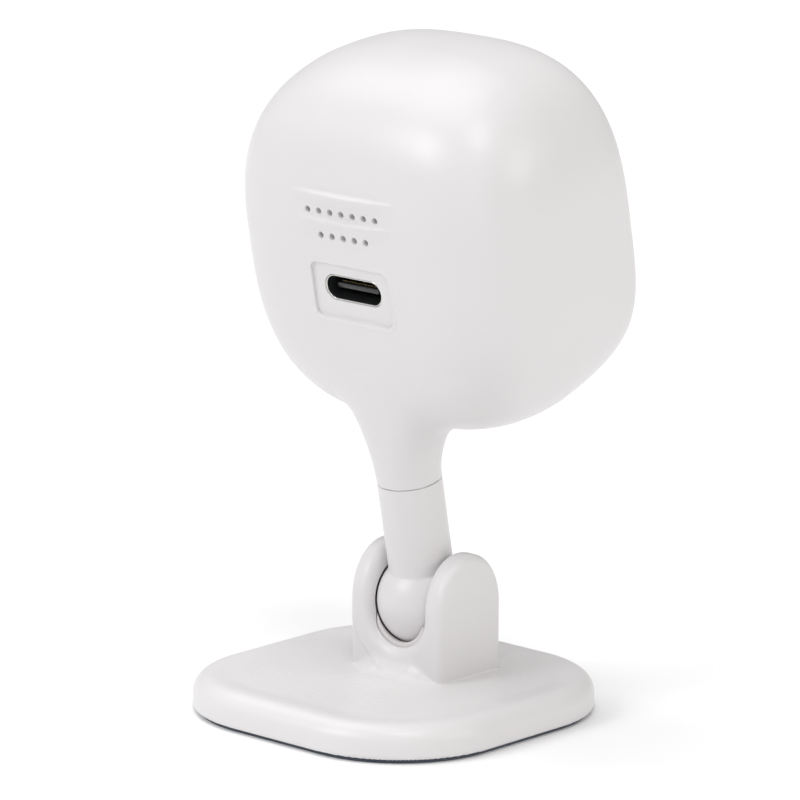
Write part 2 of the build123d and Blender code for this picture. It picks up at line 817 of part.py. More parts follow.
def make_aerial_cable():
    """Thin coax from the aerial down to the main board."""
    start = (5.5, aerial_y + 0.9, 60.0)
    knee = (8.55, aerial_y + 1.6, 57.5)
    end = (8.55, aerial_y + 1.6, 50.0)
    path = FilletPolyline(start, knee, end, radius=1.9)
    section_plane = Plane(origin=start, z_dir=path % 0)
    return single(sweep(section_plane * Circle(0.55), path))


save_head("wifi_aerial", make_aerial())
save_head("aerial_cable", make_aerial_cable())


# ---------------------------------------------------------------- reset button
reset_x = 16.2


def make_reset_switch():
    """Side-facing push switch on its own tab, open for the plunger."""
    case = block((reset_x - 2.0, reset_x), (reset_y - 1.8, reset_y + 1.8), (reset_z - 1.8, reset_z + 1.8))
    return single(case - rod(0.85, (reset_x - 1.0, reset_y, reset_z), (1, 0, 0), 9))


def make_reset_plunger():
    """Small round plunger that a pin pushes."""
    return rod(0.8, (reset_x - 1.0 + reset_travel + 0.1, reset_y, reset_z), (1, 0, 0), 1.75)


save_head("reset_switch", make_reset_switch())
save_head("reset_plunger", make_reset_plunger())
save_head("reset_board", block((reset_x - 2.6, reset_x - 2.0), (reset_y - 2.5, board_y - board_thick),
                               (reset_z - 2.5, reset_z + 2.5)))
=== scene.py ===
import json
import math
import bmesh
import bpy
import numpy as np
from mathutils import Matrix, Vector


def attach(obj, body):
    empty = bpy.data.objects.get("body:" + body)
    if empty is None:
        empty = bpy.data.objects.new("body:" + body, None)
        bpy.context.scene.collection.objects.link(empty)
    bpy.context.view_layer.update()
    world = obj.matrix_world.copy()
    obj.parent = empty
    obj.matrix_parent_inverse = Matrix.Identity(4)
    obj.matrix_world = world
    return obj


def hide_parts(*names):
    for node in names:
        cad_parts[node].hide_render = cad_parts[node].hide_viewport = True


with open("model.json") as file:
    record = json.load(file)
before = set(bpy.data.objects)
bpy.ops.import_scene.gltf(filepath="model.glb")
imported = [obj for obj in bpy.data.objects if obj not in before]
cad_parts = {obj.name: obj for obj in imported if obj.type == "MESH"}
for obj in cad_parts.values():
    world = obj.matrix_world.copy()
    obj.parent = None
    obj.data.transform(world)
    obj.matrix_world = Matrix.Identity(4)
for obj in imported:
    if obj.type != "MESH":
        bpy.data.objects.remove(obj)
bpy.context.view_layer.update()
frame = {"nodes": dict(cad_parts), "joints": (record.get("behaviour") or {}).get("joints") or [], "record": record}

# Shapes are worked out in millimetres and turned into metres when a mesh is made.
MM = 0.001
joints = {joint["name"]: joint for joint in frame["joints"]}
pivot = np.array(joints["head_tilt"]["pos_m"]) / MM
stem_axis = np.array(joints["head_swivel"]["axis"])
FORK_Y, BALL_Z = pivot[1], pivot[2]
LEAN = math.atan2(stem_axis[1], stem_axis[2])


def to_world(points):
    """Points of the leaning head frame (Z up the stem, Y to the head's back) in the row frame."""
    x, y, z = points.T
    c, s = math.cos(LEAN), math.sin(LEAN)
    return np.stack([x, y * c + z * s + FORK_Y, -y * s + z * c + BALL_Z], -1)


# ------------------------------------------------------------------ fields
# A field is below 0 inside a shape, above 0 outside, and close to the distance near it.
def both(a, b, r=0.0):
    """Overlap of two shapes, its edge rounded to radius r."""
    if np.all(np.asarray(r) <= 0):
        return np.maximum(a, b)
    return np.minimum(np.maximum(a, b), -r) + np.hypot(np.maximum(a + r, 0), np.maximum(b + r, 0))


def either(a, b, r=0.0):
    """Union of two shapes, its inner corner filled to radius r."""
    if np.all(np.asarray(r) <= 0):
        return np.minimum(a, b)
    return np.maximum(np.minimum(a, b), r) - np.hypot(np.maximum(r - a, 0), np.maximum(r - b, 0))


def less(a, b, r=0.0):
    """First shape without the second, its edge rounded to radius r."""
    return both(a, -b, r)


def smooth_step(low, high, value):
    """Soft ramp from 0 at low to 1 at high."""
    t = np.clip((value - low) / (high - low), 0, 1)
    return t * t * (3 - 2 * t)


def rounded_square(x, y, half_x, half_y, corner):
    """Flat field of a rectangle with rounded corners."""
    qx = np.abs(x) - half_x + corner
    qy = np.abs(y) - half_y + corner
    return np.minimum(np.maximum(qx, qy), 0) + np.hypot(np.maximum(qx, 0), np.maximum(qy, 0)) - corner


def surface_net(field, low, high, step):
    """Corner points and quads of the field's surface on an even grid."""
    low = np.array(low, float)
    count = np.ceil((np.array(high) - low) / step).astype(int) + 1
    lines = [low[i] + step * np.arange(count[i]) for i in range(3)]
    values = np.empty(count)
    for i, x in enumerate(lines[0]):
        y, z = np.meshgrid(lines[1], lines[2], indexing="ij")
        slab = np.stack([np.full(y.size, x), y.ravel(), z.ravel()], -1)
        values[i] = field(slab).reshape(y.shape)
    inside = values < 0
    cells = count - 1
    corners = [(i, j, k) for i in (0, 1) for j in (0, 1) for k in (0, 1)]
    total = np.zeros(cells, np.int8)
    for i, j, k in corners:
        total += inside[i:i + cells[0], j:j + cells[1], k:k + cells[2]]
    active = np.argwhere((total > 0) & (total < 8))
    index = np.full(cells, -1)
    index[tuple(active.T)] = np.arange(len(active))
    summed = np.zeros((len(active), 3))
    hits = np.zeros(len(active))
    for corner in corners:
        for axis in range(3):
            if corner[axis]:
                continue
            a = np.array(corner)
            b = a.copy()
            b[axis] = 1
            va = values[tuple((active + a).T)]
            vb = values[tuple((active + b).T)]
            cross = (va < 0) != (vb < 0)
            share = va[cross] / (va[cross] - vb[cross])
            summed[cross] += a + share[:, None] * (b - a)
            hits[cross] += 1
    points = low + step * (active + summed / hits[:, None])
    quads = []
    for axis in range(3):
        u, v = (axis + 1) % 3, (axis + 2) % 3
        start = [slice(None)] * 3
        start[axis] = slice(0, -1)
        after = [slice(None)] * 3
        after[axis] = slice(1, None)
        here, there = inside[tuple(start)], inside[tuple(after)]
        crossing = np.argwhere(here != there)
        crossing = crossing[(crossing[:, u] > 0) & (crossing[:, v] > 0)]
        crossing = crossing[(crossing[:, u] < cells[u]) & (crossing[:, v] < cells[v])]
        eu, ev = np.eye(3, dtype=int)[u], np.eye(3, dtype=int)[v]
        ring = [index[tuple((crossing - shift).T)] for shift in (0 * eu, eu, eu + ev, ev)]
        ring = np.stack(ring, -1)
        outward = here[tuple(crossing.T)]
        ring[~outward] = ring[~outward][:, ::-1]
        quads.append(ring)
    return points, np.concatenate(quads)


def settle(field, points, limit, rounds=5, reach=0.02):
    """Move points onto the field's surface along its slope."""
    points = points.copy()
    for _ in range(rounds):
        value = field(points)
        slope = np.empty_like(points)
        for axis in range(3):
            step = np.zeros(3)
            step[axis] = reach
            slope[:, axis] = (field(points + step) - field(points - step)) / (2 * reach)
        steep = np.maximum((slope**2).sum(1), 0.05)
        move = -value[:, None] * slope / steep[:, None]
        size = np.linalg.norm(move, axis=1)
        move *= np.minimum(1, limit / np.maximum(size, 1e-9))[:, None]
        points += move
    return points


def relax(field, points, edges, limit, rounds=3):
    """Even out the spacing of points that lie on the surface."""
    for _ in range(rounds):
        summed = np.zeros_like(points)
        hits = np.zeros(len(points))
        for a, b in ((0, 1), (1, 0)):
            for axis in range(3):
                summed[:, axis] += np.bincount(edges[:, a], points[edges[:, b], axis], len(points))
            hits += np.bincount(edges[:, a], minlength=len(points))
        middle = summed / np.maximum(hits, 1)[:, None]
        points = settle(field, points + 0.5 * (middle - points), limit, 2)
    return points


def mesh_points(mesh):
    points = np.empty(len(mesh.vertices) * 3)
    mesh.vertices.foreach_get("co", points)
    return points.reshape(-1, 3)


def mesh_edges(mesh):
    edges = np.empty(len(mesh.edges) * 2, int)
    mesh.edges.foreach_get("vertices", edges)
    return edges.reshape(-1, 2)


def piece(name, points, faces):
    """New object from points in millimetres, still in the frame they are given in."""
    mesh = bpy.data.meshes.new(name)
    mesh.from_pydata((points * MM).tolist(), [], [list(map(int, face)) for face in faces])
    mesh.validate()
    made = bpy.data.objects.new(name, mesh)
    bpy.context.scene.collection.objects.link(made)
    return made


def carve(name, field, low, high, step, fine=None, cuts=1, rounds=4):
    """Object of a field's surface, with its faces split smaller where fine(points) is true."""
    points, quads = surface_net(field, low, high, step)
    points = settle(field, points, step / 2)
    made = piece(name, points, quads)
    edges = mesh_edges(made.data)
    points = relax(field, points, edges, step / 2, 3)
    if fine is not None:
        made.data.vertices.foreach_set("co", (points * MM).ravel())
        split = bmesh.new()
        split.from_mesh(made.data)
        wanted = fine(points)
        split.verts.ensure_lookup_table()
        chosen = [edge for edge in split.edges if wanted[edge.verts[0].index] and wanted[edge.verts[1].index]]
        bmesh.ops.subdivide_edges(split, edges=chosen, cuts=cuts, use_grid_fill=True)
        split.to_mesh(made.data)
        split.free()
        points = mesh_points(made.data) / MM
        points = settle(field, points, step / 2)
        points = relax(field, points, mesh_edges(made.data), step / 2, rounds)
    made.data.vertices.foreach_set("co", (points * MM).ravel())
    made.data.update()
    return made


def lathe(name, profile, centre, axis, count=96, tube=False):
    """Solid turned from (radius, height) pairs about an axis; a tube's last pair meets its first."""
    axis = Vector(axis).normalized()
    turn = axis.to_track_quat("Z", "Y").to_matrix()
    points, faces, rings = [], [], []
    for radius, height in profile:
        if radius < 1e-6:
            rings.append([len(points)])
            points.append(turn @ Vector((0, 0, height)) + Vector(centre))
            continue
        ring = []
        for step in range(count):
            angle = 2 * math.pi * step / count
            ring.append(len(points))
            flat = Vector((radius * math.cos(angle), radius * math.sin(angle), height))
            points.append(turn @ flat + Vector(centre))
        rings.append(ring)
    for low, high in zip(rings, rings[1:] + rings[:1] * tube):
        for step in range(count):
            after = (step + 1) % count
            if len(low) == 1:
                faces.append((low[0], high[after], high[step]))
            elif len(high) == 1:
                faces.append((low[step], low[after], high[0]))
            else:
                faces.append((low[step], low[after], high[after], high[step]))
    if len(rings[0]) > 1 and not tube:
        faces.append(tuple(reversed(rings[0])))
    if len(rings[-1]) > 1 and not tube:
        faces.append(tuple(rings[-1]))
    return piece(name, np.array(points), faces)


def outline_solid(name, rings):
    """Closed solid through rings of equal point count, each a list of 3-D points."""
    count = len(rings[0])
    points = np.concatenate(rings)
    faces = []
    for level in range(len(rings) - 1):
        low, high = level * count, (level + 1) * count
        for step in range(count):
            after = (step + 1) % count
            faces.append((low + step, low + after, high + after, high + step))
    faces.append(tuple(range(count - 1, -1, -1)))
    last = (len(rings) - 1) * count
    faces.append(tuple(range(last, last + count)))
    return piece(name, points, faces)


def outward(made):
    """Make all faces point outwards."""
    shape = bmesh.new()
    shape.from_mesh(made.data)
    bmesh.ops.recalc_face_normals(shape, faces=shape.faces)
    shape.to_mesh(made.data)
    shape.free()
    return made


def cut(made, *tools):
    """Take the tools' volume out of an object and delete the tools."""
    for tool in tools:
        outward(tool)
        step = made.modifiers.new("cut", "BOOLEAN")
        step.operation = "DIFFERENCE"
        step.solver = "MANIFOLD"
        step.object = tool
    seen = made.evaluated_get(bpy.context.evaluated_depsgraph_get())
    result = bpy.data.meshes.new_from_object(seen)
    if len(result.polygons) == len(made.data.polygons):
        raise RuntimeError("a cut of " + made.name + " did nothing")
    made.modifiers.clear()
    made.data = result
    for tool in tools:
        bpy.data.objects.remove(tool)
    return made


def shade(made, angle=32):
    """Smooth shading, kept sharp where two faces meet at more than the angle."""
    made.data.shade_smooth()
    made.data.set_sharp_from_angle(angle=math.radians(angle))
    return made


def lean(made):
    """Move a mesh drawn in the head frame to its place in the row frame."""
    points = mesh_points(made.data) / MM
    made.data.vertices.foreach_set("co", (to_world(points) * MM).ravel())
    made.data.update()
    return made


def fit(made, body, nodes, finish):
    """Give a piece its body, the CAD nodes it stands for and its material."""
    made.data.materials.clear()
    made.data.materials.append(finish)
    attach(made, body)
    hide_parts(*nodes)
    return made


# ------------------------------------------------------------------ materials
class Nodes:
    """Short way to write a node tree."""

    def __init__(self, name):
        self.material = bpy.data.materials.new(name)
        self.material.use_nodes = True
        self.tree = self.material.node_tree
        self.shader = self.tree.nodes["Principled BSDF"]
        self.place = self.node("ShaderNodeTexCoord").outputs["Object"]

    def node(self, kind, **settings):
        made = self.tree.nodes.new(kind)
        for key, value in settings.items():
            setattr(made, key, value)
        return made

    def join(self, out, into):
        self.tree.links.new(out, into)

    def noise(self, scale, detail=3.0, rough=0.55, stretch=None):
        made = self.node("ShaderNodeTexNoise")
        made.inputs["Scale"].default_value = scale
        made.inputs["Detail"].default_value = detail
        made.inputs["Roughness"].default_value = rough
        where = self.place
        if stretch:
            mapping = self.node("ShaderNodeMapping")
            mapping.inputs["Scale"].default_value = stretch
            self.join(self.place, mapping.inputs["Vector"])
            where = mapping.outputs["Vector"]
        self.join(where, made.inputs["Vector"])
        return made.outputs["Fac"]

    def remap(self, value, low, high, to_low, to_high):
        made = self.node("ShaderNodeMapRange")
        for key, number in zip(("From Min", "From Max", "To Min", "To Max"), (low, high, to_low, to_high)):
            made.inputs[key].default_value = number
        self.join(value, made.inputs["Value"])
        return made.outputs["Result"]

    def math(self, operation, a, b=None):
        made = self.node("ShaderNodeMath", operation=operation)
        for slot_index, value in enumerate((a, b)):
            if value is None:
                continue
            if isinstance(value, (int, float)):
                made.inputs[slot_index].default_value = value
            else:
                self.join(value, made.inputs[slot_index])
        return made.outputs["Value"]

    def ramp(self, value, *stops):
        made = self.node("ShaderNodeValToRGB")
        ramp = made.color_ramp
        while len(ramp.elements) < len(stops):
            ramp.elements.new(0.5)
        for element, (position, colour) in zip(ramp.elements, stops):
            element.position = position
            element.color = (*colour, 1)
        self.join(value, made.inputs["Fac"])
        return made.outputs["Color"]

    def bump(self, height, strength, distance):
        made = self.node("ShaderNodeBump")
        made.inputs["Strength"].default_value = strength
        made.inputs["Distance"].default_value = distance
        self.join(height, made.inputs["Height"])
        self.join(made.outputs["Normal"], self.shader.inputs["Normal"])


def moulded(name, colour, rough, grain=0.00002, spread=0.03, specular=0.5, coat=0.0, metallic=0.0,
            fine=5200, mottle=90, stretch=None, transmission=0.0, ior=1.5, subsurface=0.0):
    """Surface with slight cloudiness in colour, uneven gloss and a fine grain."""
    n = Nodes(name)
    cloud = n.noise(mottle, 4, 0.6, stretch)
    dark = tuple(max(0, channel * (1 - spread)) for channel in colour)
    light = tuple(min(1, channel * (1 + spread / 2)) for channel in colour)
    n.join(n.ramp(cloud, (0.35, dark), (0.65, light)), n.shader.inputs["Base Color"])
    wear = n.noise(mottle * 3.1, 5, 0.65, stretch)
    n.join(n.remap(wear, 0.3, 0.7, rough - 0.04, rough + 0.05), n.shader.inputs["Roughness"])
    n.bump(n.noise(fine, 3, 0.7, stretch), 1.0, grain)
    n.shader.inputs["Specular IOR Level"].default_value = specular
    n.shader.inputs["Coat Weight"].default_value = coat
    n.shader.inputs["Metallic"].default_value = metallic
    n.shader.inputs["Transmission Weight"].default_value = transmission
    n.shader.inputs["IOR"].default_value = ior
    n.shader.inputs["Subsurface Weight"].default_value = subsurface
    n.shader.inputs["Subsurface Radius"].default_value = (0.0012, 0.001, 0.0009)
    n.shader.inputs["Subsurface Scale"].default_value = 1.0
    return n


def circuit_material():
    """Green solder mask with a grid of paler tracks."""
    n = moulded("circuit_board", (0.012, 0.11, 0.045), 0.32, 0.000008, 0.2)
    track = n.node("ShaderNodeTexBrick")
    track.inputs["Scale"].default_value = 420
    track.inputs["Mortar Size"].default_value = 0.06
    track.inputs["Color1"].default_value = (0.012, 0.11, 0.045, 1)
    track.inputs["Color2"].default_value = (0.016, 0.14, 0.06, 1)
    track.inputs["Mortar"].default_value = (0.03, 0.2, 0.09, 1)
    n.join(n.place, track.inputs["Vector"])
    n.join(track.outputs["Color"], n.shader.inputs["Base Color"])
    return n.material


def cloth_material():
    """Fine dark mesh, speckled rather than woven."""
    n = moulded("mesh_cloth", (0.1, 0.08, 0.075), 0.8, 0.00001, 0.3, 0.2)
    weave = n.node("ShaderNodeTexVoronoi", feature="F1")
    weave.inputs["Scale"].default_value = 5200
    n.join(n.place, weave.inputs["Vector"])
    n.join(n.ramp(weave.outputs["Distance"], (0.2, (0.16, 0.12, 0.11)), (0.6, (0.03, 0.02, 0.02))),
           n.shader.inputs["Base Color"])
    return n.material


WHITE = (0.705, 0.688, 0.690)
finishes = {
    "white_plastic": moulded("white_plastic", WHITE, 0.34, 0.0000035, 0.008, 0.45, fine=5200, mottle=60,
                             subsurface=0.08).material,
    "cup_plastic": moulded("cup_plastic", (0.68, 0.65, 0.645), 0.38, 0.000003, 0.02, 0.45).material,
    "grey_plastic": moulded("grey_plastic", (0.17, 0.175, 0.185), 0.45, 0.00001, 0.08).material,
    "silicone": moulded("silicone", (0.33, 0.34, 0.35), 0.55, 0.00001, 0.06).material,
    "foot_rubber": moulded("foot_rubber", (0.085, 0.10, 0.125), 0.7, 0.00003, 0.12, 0.35, fine=2600).material,
    "steel": moulded("steel", (0.56, 0.56, 0.57), 0.3, 0.000006, 0.08, metallic=1.0).material,
    "weight_steel": moulded("weight_steel", (0.32, 0.32, 0.33), 0.45, 0.00001, 0.15, metallic=1.0).material,
    "dark_window": moulded("dark_window", (0.006, 0.006, 0.007), 0.07, 0.0000006, 0.3, 0.3,
                           fine=900).material,
    "lens_window": moulded("lens_window", (0.9, 0.9, 0.92), 0.02, 0.0000002, 0.05, 0.2, transmission=1.0,
                           ior=1.15).material,
    "black_plastic": moulded("black_plastic", (0.012, 0.012, 0.013), 0.42, 0.000008, 0.15).material,
    "circuit_board": circuit_material(),
    "clear_resin": moulded("clear_resin", (0.86, 0.88, 0.86), 0.08, 0.000001, 0.04,
                           transmission=0.85).material,
    "black_metal": moulded("black_metal", (0.018, 0.018, 0.02), 0.3, 0.000004, 0.15, metallic=0.6).material,
    "lens_glass": moulded("lens_glass", (0.16, 0.13, 0.30), 0.03, 0.0000002, 0.1, 0.5,
                          transmission=0.75).material,
    "filter_glass": moulded("filter_glass", (0.62, 0.82, 0.86), 0.04, 0.0000003, 0.05,
                            transmission=0.9).material,
    "copper": moulded("copper", (0.66, 0.30, 0.14), 0.3, 0.00002, 0.1, metallic=1.0, fine=3800,
                      stretch=(0.1, 0.1, 3.0)).material,
    "chip_epoxy": moulded("chip_epoxy", (0.02, 0.02, 0.021), 0.5, 0.000008, 0.15).material,
    "shield_tin": moulded("shield_tin", (0.62, 0.62, 0.60), 0.34, 0.000006, 0.08, metallic=1.0).material,
    "ribbon_film": moulded("ribbon_film", (0.55, 0.27, 0.06), 0.28, 0.000004, 0.12, coat=0.3).material,
    "inlet_nickel": moulded("inlet_nickel", (0.78, 0.76, 0.73), 0.18, 0.000003, 0.08, metallic=1.0).material,
    "inlet_plastic": moulded("inlet_plastic", (0.016, 0.017, 0.018), 0.3, 0.000003, 0.15, coat=0.2).material,
    "gold": moulded("gold", (0.83, 0.60, 0.24), 0.22, 0.000003, 0.06, metallic=1.0).material,
    "speaker_film": moulded("speaker_film", (0.05, 0.05, 0.055), 0.3, 0.000005, 0.15, coat=0.2).material,
    "foam": moulded("foam", (0.03, 0.03, 0.03), 0.9, 0.00012, 0.2, 0.2, fine=3000).material,
    "mesh_cloth": cloth_material(),
    "black_rubber": moulded("black_rubber", (0.015, 0.015, 0.016), 0.65, 0.00001, 0.12).material,
}

# Every CAD node takes its slot's finish first; the pieces below replace the ones that need a better shape.
slot_of = {part["node"]: part["material_slot"] for part in frame["record"]["subparts"]}
for node, made in frame["nodes"].items():
    finish = finishes[slot_of[node]]
    if not made.data.materials:
        made.data.materials.append(finish)
    for place in range(len(made.data.materials)):
        made.data.materials[place] = finish

# ------------------------------------------------------------------ head
MID_Z = 44.4
BACK_Y, FRONT_Y = 5.62, -23.6
DEPTH = BACK_Y - FRONT_Y
BACK_IN, BACK_LEN, BACK_POW = 19.7, 18.2, 2.54
FRONT_IN, FRONT_LEN, FRONT_POW = 6.9, 16.3, 2.64
SEAM_Z = 15.75
STEM_R = 3.94
NECK_RISE, NECK_TOP = 11, 30.5
NECK_BLEND = 1.1
WALL = 1.6
# Ribs: crest height, half length and how far each stands out; short slope above the crest, long one below.
RIBS = ((53.55, 8.4, 0.6), (50.45, 7.4, 0.66))
RIB_ABOVE, RIB_BELOW = 0.23, 0.95


def gauge(x, z, side, top, low, top_power, low_power):
    """How far out a point is in a section, 1 on its outline."""
    up = z > 0
    height = np.where(up, top, low)
    power = np.where(up, top_power, low_power)
    return (np.abs(x / side)**power + np.abs(z / height)**power)**(1 / power)


def pebble(points, shrink=0.0):
    """Field of the head without its neck."""
    x, y, z = points[:, 0], points[:, 1], points[:, 2] - MID_Z
    depth = BACK_Y - y
    share = np.clip(depth / DEPTH, 0, 1)
    ahead = DEPTH * (1 - share)
    side = 23.6 - 0.288 * ahead + 0.0132 * ahead**2
    top = 23.1 - 0.074 * ahead + 0.0017 * ahead**2
    low = 20.8 + 0.112 * ahead + 0.002 * ahead**2
    powers = (3.2 - 0.3 * share, 2.7 + 1.2 * share)
    # how far the outline would have to come in to pass through the point
    least = np.minimum(side, np.where(z > 0, top, low))
    g = np.maximum(gauge(x, z, side, top, low, *powers), 1e-6)
    inset = np.minimum((1 - g) * least, least - 0.05)
    for _ in range(5):
        step = 0.01
        here = gauge(x, z, side - inset, top - inset, low - inset, *powers)
        there = gauge(x, z, side - inset + step, top - inset + step, low - inset + step, *powers)
        slope = np.maximum((here - there) / step, 1e-4)
        inset = np.clip(inset + (1 - here) / slope, -30, least - 0.05)
    back = BACK_IN * ((np.maximum(0, 1 - inset / BACK_IN)**BACK_POW
                       + np.maximum(0, 1 - depth / BACK_LEN)**BACK_POW)**(1 / BACK_POW) - 1)
    front = FRONT_IN * ((np.maximum(0, 1 - inset / FRONT_IN)**FRONT_POW
                         + np.maximum(0, 1 - (DEPTH - depth) / FRONT_LEN)**FRONT_POW)**(1 / FRONT_POW) - 1)
    return np.maximum(back, front) + shrink


def neck(points):
    """Field of the flared neck above the swivel seam."""
    x, y, z = points.T
    rise = np.clip((z - SEAM_Z) / NECK_RISE, 0, 1.25)
    half_x = STEM_R + 4.3 * rise**1.9
    half_y = STEM_R + np.where(y < 0, 9.5 * rise**2.2, 0.6 * rise)
    reach = np.maximum(np.hypot(x / half_x, y / half_y), 1e-6)
    slope = np.maximum(np.hypot(x / half_x**2, y / half_y**2), 1e-6)
    round_field = (reach - 1) * reach / slope
    return both(round_field, np.maximum(SEAM_Z - z, z - NECK_TOP), 0.02)


def rib(x, z, crest, half, height):
    """Height of one rib: a short upper side, a crest and a long lower side, fading at both ends."""
    ends = np.clip(1 - (x / half)**2, 0, 1)**0.9
    up = z - crest
    width = np.where(up > 0, RIB_ABOVE, RIB_BELOW)
    return height * ends * np.exp(-(up / width)**2)


PORT_Z = 41.8
PANEL_Z = 41.45
PANEL_Y = 5.2
PANEL_HALF_X, PANEL_HALF_Z = 6.1, 3.4
PANEL_CORNER = 1.0
LIP_OUT, LIP_WIDTH, LIP_HEIGHT = 0.3, 0.26, 0.16


def head(points):
    """Field of head and neck with the ribs and the recess round the inlet."""
    x, y, z = points.T
    field = either(pebble(points), neck(points), NECK_BLEND)
    behind = smooth_step(2.0, 4.0, y)
    raised = rib(x, z, *RIBS[0]) + rib(x, z, *RIBS[1])
    field = field - behind * raised
    outline = rounded_square(x, z - PANEL_Z, PANEL_HALF_X, PANEL_HALF_Z, PANEL_CORNER)
    recess = both(outline, PANEL_Y - y, 0.06)
    # the recess's lower and -X sides have a raised lip and a softer edge
    low_side = np.maximum(smooth_step(2.6, 3.3, PANEL_Z - z), smooth_step(5.4, 6.0, -x))
    field = field - behind * low_side * LIP_HEIGHT * np.exp(-((outline - LIP_OUT) / LIP_WIDTH)**2)
    soft = 0.07 + 0.2 * low_side
    return less(field, recess, soft)


def fine_areas(points):
    """The panel with the inlet and sound holes, and the edge at the swivel seam."""
    x, y, z = points.T
    panel = (np.abs(x) < 9.6) & (z > 35.5) & (z < 56.5) & (y > 2)
    return panel | (z < SEAM_Z + 0.6)


shell = carve("rear_shell_moulding", head, (-23, -24.5, 14.6), (23, 6.9, 68.5), 0.38, fine_areas, 3)


def section_ring(depth, inset, y, count=240):
    """One section of the head's outline as points, brought in by inset."""
    ahead = DEPTH - depth
    back = BACK_IN * (1 - (1 - max(0, 1 - depth / BACK_LEN)**BACK_POW)**(1 / BACK_POW))
    into = min(1, max(0, FRONT_LEN - ahead) / FRONT_LEN)
    front = FRONT_IN * (1 - (1 - into**FRONT_POW)**(1 / FRONT_POW))
    gone = back + front + inset
    side = 23.6 - 0.288 * ahead + 0.0132 * ahead**2 - gone
    top = 23.1 - 0.074 * ahead + 0.0017 * ahead**2 - gone
    low = 20.8 + 0.112 * ahead + 0.002 * ahead**2 - gone
    share = depth / DEPTH
    angle = 2 * np.pi * np.arange(count) / count
    c, s = np.cos(angle), np.sin(angle)
    radius = 1 / gauge(c, s, side, top, low, 3.2 - 0.3 * share, 2.7 + 1.2 * share)
    return np.stack([radius * c, np.full(count, y), MID_Z + radius * s], -1)


POST_X, POST_Z, POST_R, POST_END = 11.5, (35.0, 55.5), 1.9, -4.8
INLET_BLOCK_X, INLET_BLOCK_Z, INLET_BLOCK_MID, INLET_BLOCK_Y = 6.1, 4.0, 41.5, 3.45


def cavity():
    """Inside of the shell, kept clear of the screw posts and of the block round the inlet."""
    posts = [(x, z) for x in (-POST_X, POST_X) for z in POST_Z]

    def field(points):
        x, y, z = points.T
        inside = np.maximum(pebble(points, WALL), FRONT_Y + 2 - y)
        for px, pz in posts:
            post = np.maximum(np.hypot(x - px, z - pz) - POST_R, POST_END - y)
            inside = less(inside, post, 0.5)
        sides = np.maximum(np.abs(x) - INLET_BLOCK_X, np.abs(z - INLET_BLOCK_MID) - INLET_BLOCK_Z)
        block = np.maximum(sides, INLET_BLOCK_Y - y)
        return less(inside, block, 0.5)

    return carve("cavity", field, (-22, -22.2, 22), (22, 4.6, 67), 0.55)


def front_opening():
    """Prism through the front rim, its mouth eased outwards."""
    levels = [(WALL, FRONT_Y + 2.6), (WALL, FRONT_Y + 0.22), (WALL - 0.06, FRONT_Y + 0.08),
              (WALL - 0.22, FRONT_Y - 0.02), (WALL - 0.22, FRONT_Y - 1)]
    return outline_solid("front_opening", [section_ring(DEPTH, inset, y) for inset, y in levels])


def stadium(half_long, radius, y, x=0.0, z=PORT_Z, count=96):
    """Rounded slot outline in X and Z at one Y."""
    points = []
    for step in range(count):
        angle = 2 * math.pi * (step + 0.5) / count
        shift = half_long if math.cos(angle) > 0 else -half_long
        points.append((x + shift + radius * math.cos(angle), y, z + radius * math.sin(angle)))
    return np.array(points)


# Outside of a USB-C inlet's shell.
SHELL_WIDE, SHELL_HIGH = 8.94, 3.16
SHELL_R = SHELL_HIGH / 2
SLOT_LONG = (SHELL_WIDE - SHELL_HIGH) / 2
# How far below the recess floor each section of the opening lies, and how much it has grown.
BORE_LEVELS = ((3.0, 0.0), (0.1, 0.0), (0.03, 0.02), (0.0, 0.06), (-0.04, 0.14), (-2.5, 0.14))


def port_mouth():
    """Opening for the inlet, softened at the recess floor."""
    rings = [stadium(SLOT_LONG, SHELL_R + 0.05 + grow, PANEL_Y - below) for below, grow in BORE_LEVELS]
    return outline_solid("port_mouth", rings)


HOLE_R = 0.38
HOLE_ROWS = ((7, 51.4), (5, 48.45))
HOLE_PITCH, HOLE_SHIFT = 1.78, 0.15


def sound_hole(x, z):
    """Tool for one sound hole, eased where it meets the surface."""
    probe = np.array([[x, BACK_Y + 0.6, z]])
    for _ in range(60):
        probe[0, 1] -= max(0.002, float(head(probe)[0]) * 0.6)
        if head(probe)[0] < 0.003:
            break
    surface = probe[0, 1]
    profile = [(0, -3.2), (HOLE_R, -3.2), (HOLE_R, -0.14), (0.4, -0.06), (0.46, 0.0),
               (0.56, 0.05), (0.56, 0.6), (0, 0.6)]
    return lathe("sound_hole", profile, (x, surface, z), (0, 1, 0), 32)


holes = []
for count, z in HOLE_ROWS:
    for step in range(count):
        holes.append(sound_hole((step - (count - 1) / 2) * HOLE_PITCH + HOLE_SHIFT, z))
# A bore for the stem with a wider room above it for the swivel washer and screw.
bore_profile = [(0, 13), (2.9, 13), (2.9, 15.78), (2.55, 16.05), (2.55, 21.45),
                (3.9, 21.45), (3.9, 25.4), (0, 25.4)]
neck_bore = lathe("neck_bore", bore_profile, (0, 0, 0), (0, 0, 1), 72)
RESET_R = 0.7
reset_profile = [(0, 12), (RESET_R, 12), (RESET_R, 24.0), (0, 24.0)]
reset_hole = lathe("reset_hole", reset_profile, (0, -9.0, 38.0), (1, 0, 0), 40)
cut(shell, cavity(), front_opening())
cut(shell, port_mouth(), neck_bore, reset_hole, *holes)
shade(lean(shell), 38)
fit(shell, "head", ["rear_shell"], finishes["white_plastic"])


# ------------------------------------------------------------------ stem
def arc(centre_r, centre_z, radius, start, end, count):
    """Points of an arc in (radius, height)."""
    points = []
    for step in range(count + 1):
        angle = math.radians(start + (end - start) * step / count)
        points.append((centre_r + radius * math.cos(angle), centre_z + radius * math.sin(angle)))
    return points


